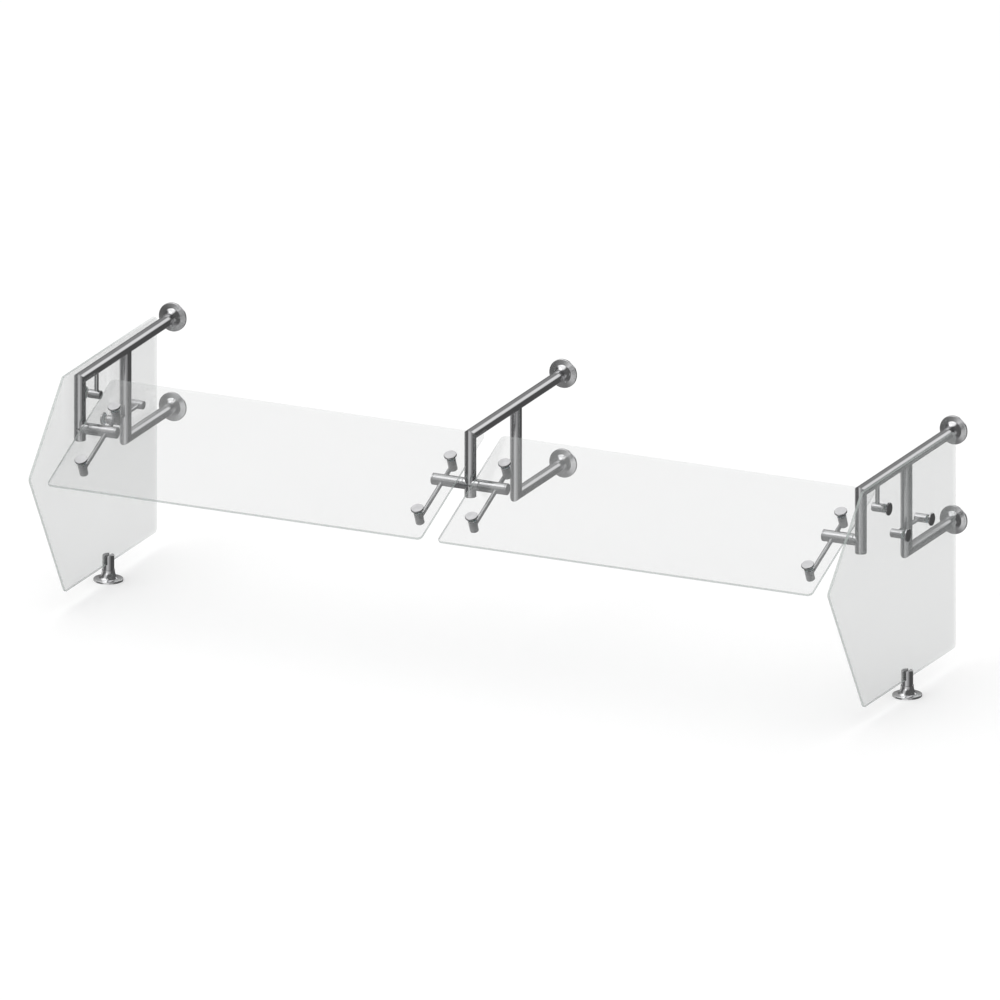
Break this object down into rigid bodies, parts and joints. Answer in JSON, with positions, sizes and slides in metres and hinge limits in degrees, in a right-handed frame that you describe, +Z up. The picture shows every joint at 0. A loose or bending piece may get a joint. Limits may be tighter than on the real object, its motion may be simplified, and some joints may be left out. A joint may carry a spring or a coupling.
{
  "type": "wall-mounted glass food shield",
  "caption": "Wall-mounted food shield: tube brackets carry sloping glass shields on tilting bars, with upright glass ends on round feet.",
  "frame": {"origin": "centre of the middle bracket's upper wall plate, on the face that meets the wall", "axes": "+X to the right along the shields, +Y into the wall, +Z up"},
  "size_m": [1.9342, 0.6765, 0.5397],
  "materials": {
    "tube_steel": "brushed along the tube",
    "cover_steel": "spun, satin",
    "fixing_steel": "turned, satin",
    "hardware_steel": "as machined",
    "clear_glass": "clear tempered, polished edges",
    "bush_plastic": "translucent nylon",
    "liner_rubber": "soft channel"
  },
  "bodies": {
    "frame": {"left_upper_rail": "tube_steel", "left_front_post": "tube_steel", "left_mid_post": "tube_steel", "left_lower_rail": "tube_steel", "left_wall_plates": "hardware_steel", "left_pivot_axle": "hardware_steel", "middle_upper_rail": "tube_steel", "middle_front_post": "tube_steel", "middle_mid_post": "tube_steel", "middle_lower_rail": "tube_steel", "middle_wall_plates": "hardware_steel", "middle_pivot_axle": "hardware_steel", "right_upper_rail": "tube_steel", "right_front_post": "tube_steel", "right_mid_post": "tube_steel", "right_lower_rail": "tube_steel", "right_wall_plates": "hardware_steel", "right_pivot_axle": "hardware_steel", "post_end_plugs": "tube_steel", "rail_grub_screws": "hardware_steel", "hanger_rods": "fixing_steel", "rear_rods": "fixing_steel", "left_end_glass": "clear_glass", "left_end_fixing_bodies": "fixing_steel", "left_end_fixing_caps": "fixing_steel", "left_foot_post": "fixing_steel", "left_foot_plate": "hardware_steel", "right_end_glass": "clear_glass", "right_end_fixing_bodies": "fixing_steel", "right_end_fixing_caps": "fixing_steel", "right_foot_post": "fixing_steel", "right_foot_plate": "hardware_steel", "end_fixing_bushes": "bush_plastic", "foot_slot_liners": "liner_rubber"},
    "left_shield": {"left_shield_glass": "clear_glass", "left_shield_left_bar": "tube_steel", "left_shield_right_bar": "tube_steel", "left_shield_bar_caps": "tube_steel", "left_shield_grub_screws": "hardware_steel", "left_shield_arms": "fixing_steel", "left_shield_fixing_bodies": "fixing_steel", "left_shield_fixing_caps": "fixing_steel", "left_shield_fixing_bushes": "bush_plastic"},
    "right_shield": {"right_shield_glass": "clear_glass", "right_shield_left_bar": "tube_steel", "right_shield_right_bar": "tube_steel", "right_shield_bar_caps": "tube_steel", "right_shield_grub_screws": "hardware_steel", "right_shield_arms": "fixing_steel", "right_shield_fixing_bodies": "fixing_steel", "right_shield_fixing_caps": "fixing_steel", "right_shield_fixing_bushes": "bush_plastic"},
    "left_upper_wall_cover": {"left_upper_wall_cover": "cover_steel"},
    "left_lower_wall_cover": {"left_lower_wall_cover": "cover_steel"},
    "middle_upper_wall_cover": {"middle_upper_wall_cover": "cover_steel"},
    "middle_lower_wall_cover": {"middle_lower_wall_cover": "cover_steel"},
    "right_upper_wall_cover": {"right_upper_wall_cover": "cover_steel"},
    "right_lower_wall_cover": {"right_lower_wall_cover": "cover_steel"},
    "left_foot_cover": {"left_foot_cover": "cover_steel"},
    "right_foot_cover": {"right_foot_cover": "cover_steel"}
  },
  "joints": [
    {"name": "left_shield_tilt", "type": "hinge", "parent": "frame", "child": "left_shield", "pos_m": [-0.4572, -0.46673, -0.10954], "axis": [1, 0, 0], "range_deg": [-23, 37]},
    {"name": "right_shield_tilt", "type": "hinge", "parent": "frame", "child": "right_shield", "pos_m": [0.4572, -0.46673, -0.10954], "axis": [1, 0, 0], "range_deg": [-23, 37]},
    {"name": "left_upper_cover_slide", "type": "slide", "parent": "frame", "child": "left_upper_wall_cover", "axis": [0, -1, 0], "range_m": [0, 0.03]},
    {"name": "left_lower_cover_slide", "type": "slide", "parent": "frame", "child": "left_lower_wall_cover", "axis": [0, -1, 0], "range_m": [0, 0.03]},
    {"name": "middle_upper_cover_slide", "type": "slide", "parent": "frame", "child": "middle_upper_wall_cover", "axis": [0, -1, 0], "range_m": [0, 0.03]},
    {"name": "middle_lower_cover_slide", "type": "slide", "parent": "frame", "child": "middle_lower_wall_cover", "axis": [0, -1, 0], "range_m": [0, 0.03]},
    {"name": "right_upper_cover_slide", "type": "slide", "parent": "frame", "child": "right_upper_wall_cover", "axis": [0, -1, 0], "range_m": [0, 0.03]},
    {"name": "right_lower_cover_slide", "type": "slide", "parent": "frame", "child": "right_lower_wall_cover", "axis": [0, -1, 0], "range_m": [0, 0.03]},
    {"name": "left_foot_cover_slide", "type": "slide", "parent": "frame", "child": "left_foot_cover", "axis": [0, 0, 1], "range_m": [0, 0.012]},
    {"name": "right_foot_cover_slide", "type": "slide", "parent": "frame", "child": "right_foot_cover", "axis": [0, 0, 1], "range_m": [0, 0.012]}
  ]
}
